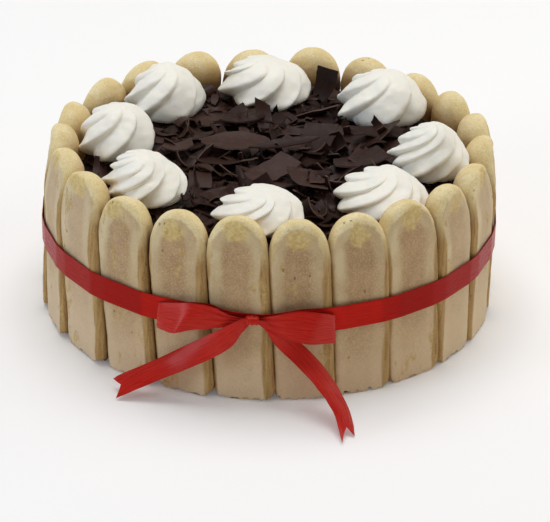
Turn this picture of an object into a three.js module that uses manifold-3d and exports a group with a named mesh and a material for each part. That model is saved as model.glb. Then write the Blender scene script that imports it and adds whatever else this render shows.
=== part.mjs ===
import * as THREE from "three";
import { mergeVertices } from "three/addons/utils/BufferGeometryUtils.js";
import Module from "manifold-3d";

// A round tiramisu cake: a standing ring of ladyfingers round sponge and cream, chocolate shavings and
// eight piped cream rosettes on top, and a satin ribbon tied round it in a bow.
// Millimetres, +Z up, the origin at the middle of the base, the bow on the -Y side. A turn is in degrees
// from +X, counterclockwise seen from above.

const touchGap = 0.3; // air kept between pieces that touch

const ringRadius = 106.1; // from the middle of the cake to the middle of a ladyfinger
const fingerHeight = 93;
const fingerThickness = 15.8;
const fingerTipLength = 16; // the rounded end
const fingerTipPower = 2.4; // of the superellipse that the end follows
const fingerTipShares = [0, 0.45, 0.75, 0.93, 0.995]; // of the length of the end, one for each ring
const facePower = 0.4; // makes the outer side of a section square and flat
const innerPower = 0.87; // makes its inner side nearly round
const fingerGap = 0.2; // air on each side of a ladyfinger
const footSpread = 3.6; // how far the feet on the -X side stand out past their tips

// The ladyfingers counterclockwise, the first one in front beside the bow. For each the seam on its left,
// in degrees: its turn at the tips, how wide it gapes and how far its foot is turned past its tip; then
// how far the tip of the ladyfinger stands above the others.
const fingers = [
  [-91.4, 0, 3.2, 0],
  [-75.5, 0, 2.2, 0.4],
  [-60.8, 0, 2.4, 1.5],
  [-46.7, 0, 4.2, 0],
  [-28.6, 0, 0, -1.3],
  [-12.6, 2.4, 0.8, -0.4],
  [3.3, 0, 1.5, -0.4],
  [19.1, 2.2, 2.8, -0.8],
  [35.6, 0.8, 3, -1.2],
  [52.7, 2.1, 3, -0.5],
  [69.9, 1.2, 3, 0.2],
  [87.1, 2, 3, -2.4],
  [104.5, 1.5, 3, -0.8],
  [121.1, 0.6, 3, -0.5],
  [137.6, 0.7, 3, -1.2],
  [155.4, 3.3, 3, -1.2],
  [172.9, 0.6, 3.4, -0.2],
  [188.4, 0.7, 5, 0],
  [203.8, 0.2, 6, 0.3],
  [220.4, 0, 6.4, -1.3],
  [237.7, 0, 4.4, 0],
  [253.7, 0, 3.2, 1.5],
];

const coreGap = 0.5; // air between the sponge and the ladyfingers
const coreRadius = ringRadius - fingerThickness / 2 - coreGap;
const coreSides = 44;
const cakeHeight = 65; // sponge and cream up to the underside of the chocolate
const bedTop = 75.5; // bare top of the chocolate that the shavings lie in

const shavingSpots = 150; // places tried, spread evenly over the bed
const shavingTries = 8; // each try at a place is a little smaller
const shavingShrink = 0.6; // share of its size that the last try would lose
const shavingThickness = 1.5;
const shavingReach = coreRadius - 0.4; // no shaving goes further out
const shavingFloor = cakeHeight + 1.5; // or lower than this
const shavingHold = 2; // cubic millimetres that each shares with the bed
const shavingLength = [14, 30];
const shavingWidth = [7, 13];
const shavingCurl = [10, 26]; // radius of the curl
const shavingLift = { hollow: [-0.6, 0.3], arched: [1.2, 2.4] }; // above the bed
const shavingEnd = 0.7; // share of its width that a shaving keeps at its ends
const largeCurl = 30;
const largeLift = 1;
const shavingTilt = 26; // most degrees a scattered shaving is tipped
const shavingSeed = 11;

// Large shavings set by hand: x, y, length, width, turn, pitch, roll.
const largeShavings = [
  [-14, 44, 48, 8, 4, 4, 22], // long one in front of the back rosette
  [-1, 53, 19, 9, 95, 62, 0], // upright against the back rosette
  [25, 84, 24, 17, 100, 38, 8], // leaning on a back ladyfinger
  [-30, 79, 24, 15, 70, 34, -12],
  [20, -12, 34, 14, 30, 9, -14],
  [-24, -18, 32, 13, 150, -10, 16],
  [3, 20, 30, 15, 75, 12, 14],
];

// The rosettes: x, y, width, height, turn of the first ridge.
const rosettes = [
  [-6.5, -76, 43, 19, 0],
  [-62, -48, 38.5, 23.5, 20],
  [-78.7, 3.5, 38.5, 25.5, 35],
  [-57, 54, 39, 26.5, 10],
  [-4, 74.8, 46, 24, 5],
  [56, 52, 43, 26.5, 28],
  [78.5, -14, 36.5, 27.5, 15],
  [52, -56, 43, 19.5, 40],
];
const rosetteBase = bedTop + touchGap;
const rosetteRidges = 8;
const valleyDepth = 0.24; // share of the radius that a crease cuts in
const rosetteTwist = 105; // degrees that a ridge turns on its way up
const apexLean = [4.5, 3]; // how far the top leans to +X and +Y
// How the rosette swells and closes: share of its height, share of its half width.
const rosetteProfile = [
  [0, 0.72],
  [0.12, 0.84],
  [0.2, 0.96],
  [0.34, 1],
  [0.52, 0.9],
  [0.68, 0.73],
  [0.82, 0.5],
  [0.93, 0.26],
  [1, 0.06],
];

const ribbonWidth = 12.7; // half-inch satin
const ribbonThickness = 0.8;
const bandMiddle = 42.9; // height of the middle of the ribbon
const bandWave = 1; // it rides this much higher on the right of the bow
const bandWaveTurn = -75;
const girthReach = 8; // above and below the middle of the ribbon, where the ladyfingers may touch it
const knotTurn = -93.8;
const knotHeight = 46.6; // where the ribbon is drawn together
const knotWidth = 8.8;
const knotTall = 4.8;
const knotInner = 116.6; // distance from the axis of the cake
const knotOuter = 121.6;
const knotShape = [
  [-1, 0.72],
  [-0.6, 0.96],
  [0, 1],
  [0.6, 0.96],
  [1, 0.72],
]; // share of its half width, share of its full section
const gatherStart = 1.5; // degrees from the knot where the band begins to widen
const gatherReach = 13; // degrees from it where the band is at its full width
const gatheredHalf = 2; // half the width of the band at the knot

// A flattened bow loop: it starts at the knot, swells outward and folds back at its far end.
const loops = {
  ribbon_loop_left: {
    turns: [-96.2, -116.6],
    heights: [45.5, 41.3],
    inner: 116.7,
    swell: 4.6,
    opening: 12, // degrees over which it widens to the whole ribbon
  },
  ribbon_loop_right: {
    turns: [-91.4, -74.6],
    heights: [45.4, 39.2],
    inner: 118.9,
    swell: 4.2,
    opening: 7,
  },
};
const loopStart = [4.6, 1.6]; // tall and deep beside the knot
const loopFold = 1.8; // depth at the folded end
const loopSteps = 9;
const loopShoulder = 0.75; // share of its depth that a loop has at its edges

// The tails: matching points along the two edges of each, from the knot to its swallow-tailed end.
const tails = {
  ribbon_tail_left: {
    upper: [
      [-13.6, -119.8, 44.4],
      [-20, -119.1, 41.7],
      [-28.4, -117.1, 36.4],
      [-45, -111.4, 24.2],
      [-61, -107.5, 13.9],
      [-75, -104.9, 5],
    ],
    lower: [
      [-13.1, -120.1, 40.5],
      [-15.8, -119.4, 35.6],
      [-20.5, -118, 27.7],
      [-37, -114.8, 17],
      [-54.5, -114.7, 8.3],
      [-73, -116.6, 0.9],
    ],
  },
  ribbon_tail_right: {
    upper: [
      [5, -117.4, 42.3],
      [12, -117.2, 37.3],
      [22.5, -116.8, 27.4],
      [33, -124.2, 14.1],
      [39, -132.4, 4.8],
      [41.5, -145, 1.5],
    ],
    lower: [
      [-1, -117.5, 40.1],
      [4, -118, 31.6],
      [14, -124.4, 24.5],
      [24, -131.5, 16.5],
      [31, -139.1, 8.8],
      [34.5, -154, 0.9],
    ],
  },
};
const tailSteps = 18;
const swallowCut = 6; // depth of the notch in the end of a tail

const finish = {
  ladyfinger: new THREE.MeshStandardMaterial({ color: 0xcdb585, roughness: 0.92 }),
  cake: new THREE.MeshStandardMaterial({ color: 0xe8dcc0, roughness: 0.85 }),
  chocolate: new THREE.MeshStandardMaterial({ color: 0x3b2722, roughness: 0.5 }),
  cream: new THREE.MeshStandardMaterial({ color: 0xf2eee4, roughness: 0.6 }),
  ribbon: new THREE.MeshStandardMaterial({ color: 0xb3151b, roughness: 0.35 }),
};
for (const [name, material] of Object.entries(finish)) {
  material.name = name;
  material.metalness = 0;
}

const wasm = await Module();
wasm.setup();

const cake = new THREE.Group();
cake.name = "tiramisu";

function addPiece(name, geometry, material) {
  geometry.computeVertexNormals();
  const mesh = new THREE.Mesh(geometry, material);
  mesh.name = name;
  cake.add(mesh);
  return mesh;
}

function radians(degrees) {
  return THREE.MathUtils.degToRad(degrees);
}

function polar(turn, radius, z, sideways = 0) {
  const c = Math.cos(radians(turn));
  const s = Math.sin(radians(turn));
  return new THREE.Vector3(radius * c - sideways * s, radius * s + sideways * c, z);
}

function seededRandom(seed) {
  let state = seed >>> 0;
  return () => {
    state = (state + 0x6d2b79f5) >>> 0;
    let t = state;
    t = Math.imul(t ^ (t >>> 15), t | 1);
    t ^= t + Math.imul(t ^ (t >>> 7), t | 61);
    return ((t ^ (t >>> 14)) >>> 0) / 4294967296;
  };
}

// A closed skin over rings of points that all have the same count. Its two ends are closed by fans round
// their middle points, or it runs round and joins its first ring when it is a loop.
function skin(rings, isLoop = false) {
  const count = rings[0].length;
  const points = rings.flat().map((p) => p.clone());
  const faces = [];
  const last = isLoop ? rings.length : rings.length - 1;
  for (let k = 0; k < last; k++) {
    const lower = k * count;
    const upper = ((k + 1) % rings.length) * count;
    for (let j = 0; j < count; j++) {
      const next = (j + 1) % count;
      faces.push([lower + j, lower + next, upper + next]);
      faces.push([lower + j, upper + next, upper + j]);
    }
  }
  if (!isLoop) {
    for (const [ring, start, flip] of [
      [rings[0], 0, true],
      [rings[rings.length - 1], (rings.length - 1) * count, false],
    ]) {
      const middle = new THREE.Vector3();
      ring.forEach((p) => middle.addScaledVector(p, 1 / count));
      const hub = points.push(middle) - 1;
      for (let j = 0; j < count; j++) {
        const next = (j + 1) % count;
        faces.push(flip ? [hub, start + next, start + j] : [hub, start + j, start + next]);
      }
    }
  }
  return facingOut(points, faces);
}

// An indexed geometry whose faces point outward, whichever way its rings ran.
function facingOut(points, faces) {
  let volume = 0;
  const cross = new THREE.Vector3();
  for (const [a, b, c] of faces) {
    volume += cross.crossVectors(points[b], points[c]).dot(points[a]);
  }
  const order = volume < 0 ? faces.map(([a, b, c]) => [a, c, b]) : faces;
  const geometry = new THREE.BufferGeometry().setFromPoints(points);
  geometry.setIndex(order.flat());
  return geometry;
}

function solidOf(geometry) {
  const bare = geometry.clone();
  bare.deleteAttribute("normal");
  bare.deleteAttribute("uv");
  const merged = mergeVertices(bare, 1e-3);
  const mesh = new wasm.Mesh({
    numProp: 3,
    vertProperties: merged.attributes.position.array,
    triVerts: new Uint32Array(merged.index.array),
  });
  return new wasm.Manifold(mesh);
}

function geometryOf(solid) {
  const mesh = solid.getMesh();
  const geometry = new THREE.BufferGeometry();
  const places = new Float32Array(mesh.numVert * 3);
  for (let i = 0; i < mesh.numVert; i++) {
    const from = i * mesh.numProp;
    places.set(mesh.vertProperties.subarray(from, from + 3), i * 3);
  }
  geometry.setAttribute("position", new THREE.BufferAttribute(places, 3));
  geometry.setIndex(new THREE.BufferAttribute(mesh.triVerts, 1));
  return geometry;
}

// Ladyfingers

// One half of a superellipse, the outer side squarer than the inner one and flat across its face.
function fingerOutline() {
  const outline = [];
  const faceHeight = Math.cos(Math.PI / 6) ** facePower;
  for (let step = 1; step < 12; step++) {
    const a = (step * Math.PI) / 6;
    const c = Math.cos(a);
    const s = Math.sin(a);
    const onFace = step < 3 || step > 9;
    const power = onFace ? facePower : innerPower;
    const v = Math.sign(c) * Math.abs(c) ** power;
    const u = Math.sign(s) * Math.abs(s) ** power;
    outline.push(onFace ? [v / faceHeight, u] : [Math.abs(c) < 1e-6 ? 0 : v, u]);
  }
  return outline;
}

function fingerRing(i, z, height, scale) {
  const foot = Math.max(0, 1 - z / height);
  const round = i + 1 === fingers.length ? 360 : 0;
  const [leftTurn, leftGap, leftLean] = fingers[i];
  const [rightTurn, rightGap, rightLean] = fingers[(i + 1) % fingers.length];
  const left = leftTurn + leftGap / 2 + leftLean * foot;
  const right = rightTurn + round - rightGap / 2 + rightLean * foot;
  const turn = (left + right) / 2;
  const sideShare = ((1 - Math.cos(radians(turn))) / 2) ** 2;
  const radius = ringRadius + footSpread * foot * sideShare;
  const halfWidth = radius * Math.tan(radians((right - left) / 2)) - fingerGap;
  return fingerOutline().map(([v, u]) =>
    polar(turn, radius + (v * scale * fingerThickness) / 2, z, u * scale * halfWidth),
  );
}

function fingerGeometry(i) {
  const height = fingerHeight + fingers[i][3];
  const rings = [fingerRing(i, 0, height, 1)];
  for (const share of fingerTipShares) {
    const scale = (1 - share ** fingerTipPower) ** (1 / fingerTipPower);
    rings.push(fingerRing(i, height - fingerTipLength * (1 - share), height, scale));
  }
  return skin(rings);
}

fingers.forEach((_, i) => {
  const name = "ladyfinger_" + String(i + 1).padStart(2, "0");
  addPiece(name, fingerGeometry(i), finish.ladyfinger);
});

// Sponge and cream inside the ring

function disc(radius, low, high) {
  const geometry = new THREE.CylinderGeometry(radius, radius, high - low, coreSides);
  geometry.rotateX(Math.PI / 2);
  geometry.translate(0, 0, (low + high) / 2);
  return geometry;
}

addPiece("cake_core", disc(coreRadius, 0, cakeHeight), finish.cake);

// Cream rosettes

// The star outline of a rosette at one height: each ridge rises steeply from its crease and rounds off.
function rosetteRing([x, y, width, height, start], share, size, grown) {
  const twist = rosetteTwist * share;
  const depth = valleyDepth * (1 - share ** 3);
  const lean = share ** 2;
  const ring = [];
  for (let ridge = 0; ridge < rosetteRidges; ridge++) {
    for (const [part, reach] of [
      [0, 1 - depth],
      [0.34, 1],
      [0.72, 0.97],
    ]) {
      const turn = start + twist + (360 * (ridge + part)) / rosetteRidges;
      const radius = (width / 2) * size * reach + grown;
      const point = polar(turn, radius, rosetteBase + height * share + (share === 0 ? -grown : 0));
      ring.push(point.add(new THREE.Vector3(x + apexLean[0] * lean, y + apexLean[1] * lean, 0)));
    }
  }
  return ring;
}

function rosetteGeometry(rosette, grown = 0) {
  return skin(rosetteProfile.map(([share, size]) => rosetteRing(rosette, share, size, grown)));
}

rosettes.forEach((rosette, i) => {
  addPiece("cream_rosette_" + (i + 1), rosetteGeometry(rosette), finish.cream);
});

// Chocolate shavings: curled flakes sunk in their bed

// A strip bent to a radius, hollow upward where the radius is above 0 and arched where it is below.
function shavingGeometry(length, width, curl, steps) {
  const rings = [];
  const half = shavingThickness / 2;
  for (let k = 0; k <= steps; k++) {
    const bend = ((k / steps - 0.5) * length) / curl;
    const side = (width / 2) * (k === 0 || k === steps ? shavingEnd : 1);
    const at = (up, y) =>
      new THREE.Vector3((curl - up) * Math.sin(bend), y, curl - (curl - up) * Math.cos(bend));
    rings.push([at(-half, -side), at(-half, side), at(half, side), at(half, -side)]);
  }
  return skin(rings);
}

function placedShaving([x, y, z], [length, width, curl, steps], [turn, pitch, roll]) {
  const geometry = shavingGeometry(length, width, curl, steps);
  const tip = new THREE.Euler(radians(roll), radians(-pitch), radians(turn), "ZYX");
  geometry.applyMatrix4(new THREE.Matrix4().makeRotationFromEuler(tip));
  geometry.translate(x, y, z);
  return geometry;
}

function staysInside(geometry) {
  const place = geometry.attributes.position;
  for (let i = 0; i < place.count; i++) {
    const reach = Math.hypot(place.getX(i), place.getY(i));
    if (reach > shavingReach || place.getZ(i) < shavingFloor) return false;
  }
  return true;
}

const rosetteGuards = rosettes.map((rosette) => solidOf(rosetteGeometry(rosette, touchGap)));
let chocolate = solidOf(disc(coreRadius, cakeHeight + touchGap, bedTop));

function addShaving(geometry) {
  if (!staysInside(geometry)) return false;
  const solid = solidOf(geometry);
  if (rosetteGuards.some((guard) => guard.intersect(solid).volume() > 0)) return false;
  if (chocolate.intersect(solid).volume() < shavingHold) return false;
  chocolate = chocolate.add(solid);
  return true;
}

for (const [x, y, length, width, turn, pitch, roll] of largeShavings) {
  const size = [length, width, largeCurl, 3];
  addShaving(placedShaving([x, y, bedTop + largeLift], size, [turn, pitch, roll]));
}

const random = seededRandom(shavingSeed);
const between = (low, high) => low + (high - low) * random();
const goldenTurn = 137.508;
for (let spot = 0; spot < shavingSpots; spot++) {
  const radius = shavingReach * Math.sqrt((spot + 0.5) / shavingSpots);
  const place = polar(spot * goldenTurn, radius, 0);
  for (let attempt = 0; attempt < shavingTries; attempt++) {
    const shrink = 1 - (shavingShrink * attempt) / shavingTries;
    const curl = between(...shavingCurl) * (random() < 0.5 ? -1 : 1);
    const lift = between(...(curl > 0 ? shavingLift.hollow : shavingLift.arched));
    const size = [between(...shavingLength) * shrink, between(...shavingWidth) * shrink, curl, 2];
    const tilt = [shavingTilt, shavingTilt].map((most) => between(-most, most));
    const geometry = placedShaving([place.x, place.y, bedTop + lift], size, [
      between(0, 360),
      ...tilt,
    ]);
    if (addShaving(geometry)) break;
  }
}
addPiece("chocolate_shavings", geometryOf(chocolate), finish.chocolate);

// Ribbon band: stretched over the faces of the ladyfingers and drawn together at the knot

function hullOf(points) {
  const sorted = [...points].sort((a, b) => a.x - b.x || a.y - b.y);
  const turnsLeft = (a, b, c) => (b.x - a.x) * (c.y - a.y) - (b.y - a.y) * (c.x - a.x) > 1e-4;
  const chain = (list) => {
    const kept = [];
    for (const p of list) {
      while (kept.length > 1 && !turnsLeft(kept[kept.length - 2], kept[kept.length - 1], p)) {
        kept.pop();
      }
      kept.push(p);
    }
    return kept.slice(0, -1);
  };
  return [...chain(sorted), ...chain(sorted.reverse())];
}

const girth = hullOf(
  fingers.flatMap((_, i) => [
    ...fingerRing(i, bandMiddle - girthReach, fingerHeight, 1),
    ...fingerRing(i, bandMiddle + girthReach, fingerHeight, 1),
  ]),
);

// How far out the stretched ribbon lies at a turn: where a ray meets the hull of the ladyfingers.
function girthRadius(turn) {
  const ray = polar(turn, 1, 0);
  let reach = 0;
  girth.forEach((a, i) => {
    const b = girth[(i + 1) % girth.length];
    const across = (b.x - a.x) * ray.y - (b.y - a.y) * ray.x;
    if (Math.abs(across) < 1e-9) return;
    const share = (a.y * ray.x - a.x * ray.y) / across;
    if (share < -1e-6 || share > 1 + 1e-6) return;
    const x = a.x + (b.x - a.x) * share;
    const y = a.y + (b.y - a.y) * share;
    reach = Math.max(reach, x * ray.x + y * ray.y);
  });
  return reach;
}

function bandSection(turn) {
  const away = Math.abs(THREE.MathUtils.euclideanModulo(turn - knotTurn + 180, 360) - 180);
  const open = THREE.MathUtils.smoothstep(away, gatherStart, gatherReach);
  const wave = bandWave * Math.cos(radians(turn - bandWaveTurn));
  const middle = THREE.MathUtils.lerp(knotHeight, bandMiddle + wave, open);
  const half = THREE.MathUtils.lerp(gatheredHalf, ribbonWidth / 2, open);
  const inner = girthRadius(turn) + touchGap;
  const outer = inner + ribbonThickness;
  return [
    polar(turn, inner, middle - half),
    polar(turn, outer, middle - half),
    polar(turn, outer, middle + half),
    polar(turn, inner, middle + half),
  ];
}

const bandTurns = girth.map((p) => THREE.MathUtils.radToDeg(Math.atan2(p.y, p.x)));
for (let away = -gatherReach; away <= gatherReach; away += gatherReach / 5) {
  bandTurns.push(knotTurn + away);
}
bandTurns.sort((a, b) => a - b);
const spacedTurns = bandTurns.filter((turn, i) => i === 0 || turn - bandTurns[i - 1] > 0.6);
addPiece("ribbon_band", skin(spacedTurns.map(bandSection), true), finish.ribbon);

// Knot: a short barrel lying across the band

function knotGeometry() {
  const rings = [];
  const middle = (knotInner + knotOuter) / 2;
  for (const [along, size] of knotShape) {
    const ring = [];
    for (let step = 0; step < 8; step++) {
      const a = ((step + 0.5) * Math.PI) / 4;
      const out = (Math.cos(a) / Math.cos(Math.PI / 8)) * size * ((knotOuter - knotInner) / 2);
      const up = (Math.sin(a) / Math.cos(Math.PI / 8)) * size * (knotTall / 2);
      ring.push(polar(knotTurn, middle + out, knotHeight + up, (along * knotWidth) / 2));
    }
    rings.push(ring);
  }
  return skin(rings);
}

addPiece("ribbon_knot", knotGeometry(), finish.ribbon);

// Bow loops

function loopGeometry({ turns, heights, inner, swell, opening }) {
  const rings = [];
  const span = Math.abs(turns[1] - turns[0]);
  for (let k = 0; k <= loopSteps; k++) {
    const t = k / loopSteps;
    const turn = THREE.MathUtils.lerp(turns[0], turns[1], t);
    const open = THREE.MathUtils.smoothstep(t * span, 0, opening);
    const half = THREE.MathUtils.lerp(loopStart[0], ribbonWidth, open) / 2;
    const edge = THREE.MathUtils.lerp(loopStart[1], loopFold, t);
    const depth = edge + swell * Math.sin(Math.PI * t) ** 1.5;
    const z = THREE.MathUtils.lerp(heights[0], heights[1], t);
    rings.push([
      polar(turn, inner, z - half),
      polar(turn, inner + depth * loopShoulder, z - half),
      polar(turn, inner + depth, z),
      polar(turn, inner + depth * loopShoulder, z + half),
      polar(turn, inner, z + half),
    ]);
  }
  return skin(rings);
}

for (const [name, loop] of Object.entries(loops)) {
  addPiece(name, loopGeometry(loop), finish.ribbon);
}

// Ribbon tails

function tailGeometry({ upper, lower }) {
  const curves = [upper, lower].map(
    (edge) => new THREE.CatmullRomCurve3(edge.map((p) => new THREE.Vector3(...p))),
  );
  const rings = [];
  for (let k = 0; k <= tailSteps; k++) {
    const t = k / tailSteps;
    const [a, b] = curves.map((curve) => curve.getPoint(t));
    const middle = a.clone().add(b).multiplyScalar(0.5);
    const along = curves[0].getTangent(t).add(curves[1].getTangent(t));
    if (k === tailSteps) middle.addScaledVector(along.clone().normalize(), -swallowCut);
    const normal = along.cross(b.clone().sub(a)).normalize().multiplyScalar(ribbonThickness / 2);
    const face = [a, middle, b].map((p) => p.clone().add(normal));
    const back = [b, middle, a].map((p) => p.clone().sub(normal));
    rings.push([...face, ...back]);
  }
  return stripSkin(rings);
}

// The skin of a strip whose rings are three points on its face and three on its back.
function stripSkin(rings) {
  const points = rings.flat();
  const faces = [];
  for (let k = 0; k < rings.length - 1; k++) {
    for (let j = 0; j < 6; j++) {
      const a = k * 6 + j;
      const b = k * 6 + ((j + 1) % 6);
      faces.push([a, b, b + 6], [a, b + 6, a + 6]);
    }
  }
  for (const [start, flip] of [
    [0, true],
    [(rings.length - 1) * 6, false],
  ]) {
    for (const [a, b, c, d] of [
      [0, 1, 4, 5],
      [1, 2, 3, 4],
    ]) {
      const square = [
        [start + a, start + b, start + c],
        [start + a, start + c, start + d],
      ];
      faces.push(...(flip ? square.map(([p, q, r]) => [p, r, q]) : square));
    }
  }
  return facingOut(points, faces);
}

for (const [name, edges] of Object.entries(tails)) {
  addPiece(name, tailGeometry(edges), finish.ribbon);
}

export default cake;
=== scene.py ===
import random
from math import atan, atan2, cos, hypot, pi, radians, sin, sqrt

import bmesh
import bpy
from mathutils import Matrix, Vector, noise


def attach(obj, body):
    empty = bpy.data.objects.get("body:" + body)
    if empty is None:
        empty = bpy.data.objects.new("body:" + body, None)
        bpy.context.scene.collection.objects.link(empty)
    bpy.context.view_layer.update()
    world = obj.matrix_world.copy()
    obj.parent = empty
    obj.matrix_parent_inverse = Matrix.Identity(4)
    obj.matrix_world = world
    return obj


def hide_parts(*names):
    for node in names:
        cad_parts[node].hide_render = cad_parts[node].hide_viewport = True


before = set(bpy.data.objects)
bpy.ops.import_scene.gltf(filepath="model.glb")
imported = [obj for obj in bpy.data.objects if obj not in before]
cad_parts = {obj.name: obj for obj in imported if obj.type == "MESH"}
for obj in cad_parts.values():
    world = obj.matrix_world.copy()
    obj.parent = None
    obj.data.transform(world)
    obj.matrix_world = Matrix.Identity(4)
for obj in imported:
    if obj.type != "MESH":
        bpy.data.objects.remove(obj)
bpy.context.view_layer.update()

# A round tiramisu cake: standing ladyfingers, chocolate shavings, eight cream rosettes and a satin
# ribbon tied in a bow. Metres, +Z up, the bow on the -Y side.

bpy.ops.object.select_all(action="DESELECT")
mm = 0.001
body = "root"


def only(piece):
    bpy.ops.object.select_all(action="DESELECT")
    piece.select_set(True)
    bpy.context.view_layer.objects.active = piece


def applyModifiers(piece):
    only(piece)
    for modifier in list(piece.modifiers):
        bpy.ops.object.modifier_apply(modifier=modifier.name)


def settle(piece):
    # puts the place of a piece into its mesh
    only(piece)
    bpy.ops.object.transform_apply(location=True, rotation=True, scale=True)


def link(thing):
    bpy.context.scene.collection.objects.link(thing)
    return thing


def added(name):
    piece = bpy.context.active_object
    piece.name = name
    return piece


def copyOf(master, name):
    piece = master.copy()
    piece.data = master.data.copy()
    piece.name = name
    return link(piece)


def discard(piece):
    bpy.data.objects.remove(piece)


def editing(piece, selectMode="VERT", everything=False):
    only(piece)
    bpy.ops.object.mode_set(mode="EDIT")
    bpy.ops.mesh.select_mode(type=selectMode)
    bpy.ops.mesh.select_all(action="SELECT" if everything else "DESELECT")


def doneEditing():
    bpy.ops.object.mode_set(mode="OBJECT")


def pick(piece, wanted):
    # selects, in edit mode, the vertices whose place passes the test
    net = bmesh.from_edit_mesh(piece.data)
    net.select_mode = {"VERT"}
    for vertex in net.verts:
        vertex.select_set(bool(wanted(vertex.co)))
    net.select_flush_mode()
    bmesh.update_edit_mesh(piece.data)


def faceOut(piece):
    editing(piece, everything=True)
    bpy.ops.mesh.normals_make_consistent(inside=False)
    doneEditing()


def smooth(piece, angle=None):
    only(piece)
    if angle is None:
        bpy.ops.object.shade_smooth()
    else:
        bpy.ops.object.shade_smooth_by_angle(angle=radians(angle))


def evenNet(piece, size):
    net = piece.modifiers.new("even net", "REMESH")
    net.mode = "VOXEL"
    net.voxel_size = size


def rememberPlace(piece, name):
    # keeps the place of each point as an attribute that a finish reads
    place = piece.data.attributes.new(name, "FLOAT_VECTOR", "POINT")
    for spot, vertex in zip(place.data, piece.data.vertices):
        spot.vector = vertex.co


def unevenness(piece, size, strength, direction="NORMAL", middle=0.5, group="", depth=2):
    # relief from a procedural texture, set into the mesh
    texture = bpy.data.textures.new(piece.name + "clouds", "CLOUDS")
    texture.noise_scale = size
    texture.noise_depth = depth
    modifier = piece.modifiers.new("uneven", "DISPLACE")
    modifier.texture = texture
    modifier.strength = strength
    modifier.mid_level = middle
    modifier.direction = direction
    modifier.vertex_group = group
    return texture


# Materials

class Finish:
    # a small helper round one node tree

    def __init__(self, name, roughness=0.8, **fixed):
        self.material = bpy.data.materials.new(name)
        self.material.use_nodes = True
        self.tree = self.material.node_tree
        self.shader = self.tree.nodes["Principled BSDF"]
        self.fill(self.shader, Roughness=roughness, **fixed)
        self.place = self.node("ShaderNodeTexCoord").outputs["Object"]

    def node(self, kind, **settings):
        made = self.tree.nodes.new(kind)
        for key, value in settings.items():
            setattr(made, key, value)
        return made

    def feed(self, socket, value):
        if isinstance(value, bpy.types.NodeSocket):
            self.tree.links.new(value, socket)
        elif value is not None:
            socket.default_value = value

    def fill(self, made, **values):
        for name, value in values.items():
            self.feed(made.inputs[name.replace("_", " ")], value)
        return made

    def math(self, operation, a, b=None):
        made = self.node("ShaderNodeMath", operation=operation)
        self.feed(made.inputs[0], a)
        self.feed(made.inputs[1], b)
        return made.outputs[0]

    def times(self, value, *others):
        for other in others:
            value = self.math("MULTIPLY", value, other)
        return value

    def strayed(self, value, pattern, most):
        # the value pushed up and down by a pattern that runs from 0 to 1
        return self.math("ADD", value, self.times(self.math("SUBTRACT", pattern, 0.5), most))

    def away(self, a, b):
        return self.math("SQRT", self.math("ADD", self.times(a, a), self.times(b, b)))

    def pattern(self, kind, size, place, stretch):
        return self.fill(self.node(kind), Scale=1 / size, Vector=self.stretched(place or self.place, stretch))

    def noise(self, size, detail=2.0, rough=0.5, place=None, stretch=None):
        made = self.pattern("ShaderNodeTexNoise", size, place, stretch)
        return self.fill(made, Detail=detail, Roughness=rough).outputs["Fac"]

    def cells(self, size, stretch=None):
        return self.pattern("ShaderNodeTexVoronoi", size, None, stretch).outputs["Distance"]

    def stretched(self, place, stretch):
        if stretch is None:
            return place
        made = self.node("ShaderNodeVectorMath", operation="MULTIPLY")
        self.feed(made.inputs[0], place)
        self.feed(made.inputs[1], stretch)
        return made.outputs[0]

    def band(self, value, low, high, to=(0.0, 1.0)):
        # runs smoothly from the first to the second end of to while the value goes from low to high
        made = self.node("ShaderNodeMapRange", interpolation_type="SMOOTHSTEP")
        for socket, number in zip(made.inputs[:5], (value, low, high, *to)):
            self.feed(socket, number)
        return made.outputs[0]

    def blend(self, share, a, b):
        made = self.node("ShaderNodeMix", data_type="RGBA")
        self.feed(made.inputs["Factor"], share)
        self.feed(made.inputs[6], shade(a))
        self.feed(made.inputs[7], shade(b))
        return made.outputs[2]

    def bump(self, height, distance, strength=1.0, under=None):
        made = self.node("ShaderNodeBump")
        return self.fill(made, Strength=strength, Distance=distance, Height=height, Normal=under).outputs[0]

    def attribute(self, name, output="Vector"):
        return self.node("ShaderNodeAttribute", attribute_name=name).outputs[output]

    def split(self, vector):
        made = self.node("ShaderNodeSeparateXYZ")
        self.feed(made.inputs[0], vector)
        return made.outputs

    def wear(self, color=None, roughness=None, normal=None):
        self.fill(self.shader, Base_Color=shade(color), Roughness=roughness, Normal=normal)
        return self.material


def shade(color):
    # red, green and blue as 0 to 255 on a screen become the shader's own scale
    if not isinstance(color, tuple):
        return color
    return tuple(((c / 255 + 0.055) / 1.055) ** 2.4 if c > 10 else c / 3295 for c in color) + (1.0,)


def dress(piece, material, slot, *nodes):
    piece.data.materials.clear()
    piece.data.materials.append(material)
    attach(piece, body)
    if nodes:
        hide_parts(*nodes)


# Camera, floor and light

view = {
    "place": (0.0009, -1.1326, 0.6019),
    "heading": 0.073,  # degrees, as the next two
    "down": 27.33,
    "roll": 1.161,
    "lens": 160.4,
    "sensor": 36.0,
    "farthest": 50,
}


def makeCamera():
    lens = bpy.data.cameras.new("view")
    lens.lens = view["lens"]
    lens.sensor_width = view["sensor"]
    lens.clip_end = view["farthest"]
    camera = link(bpy.data.objects.new("view", lens))
    heading = Matrix.Rotation(radians(-view["heading"]), 4, "Z")
    down = Matrix.Rotation(radians(90 - view["down"]), 4, "X")
    roll = Matrix.Rotation(radians(view["roll"]), 4, "Z")
    camera.matrix_world = Matrix.Translation(view["place"]) @ heading @ down @ roll
    bpy.context.scene.camera = camera


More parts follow.
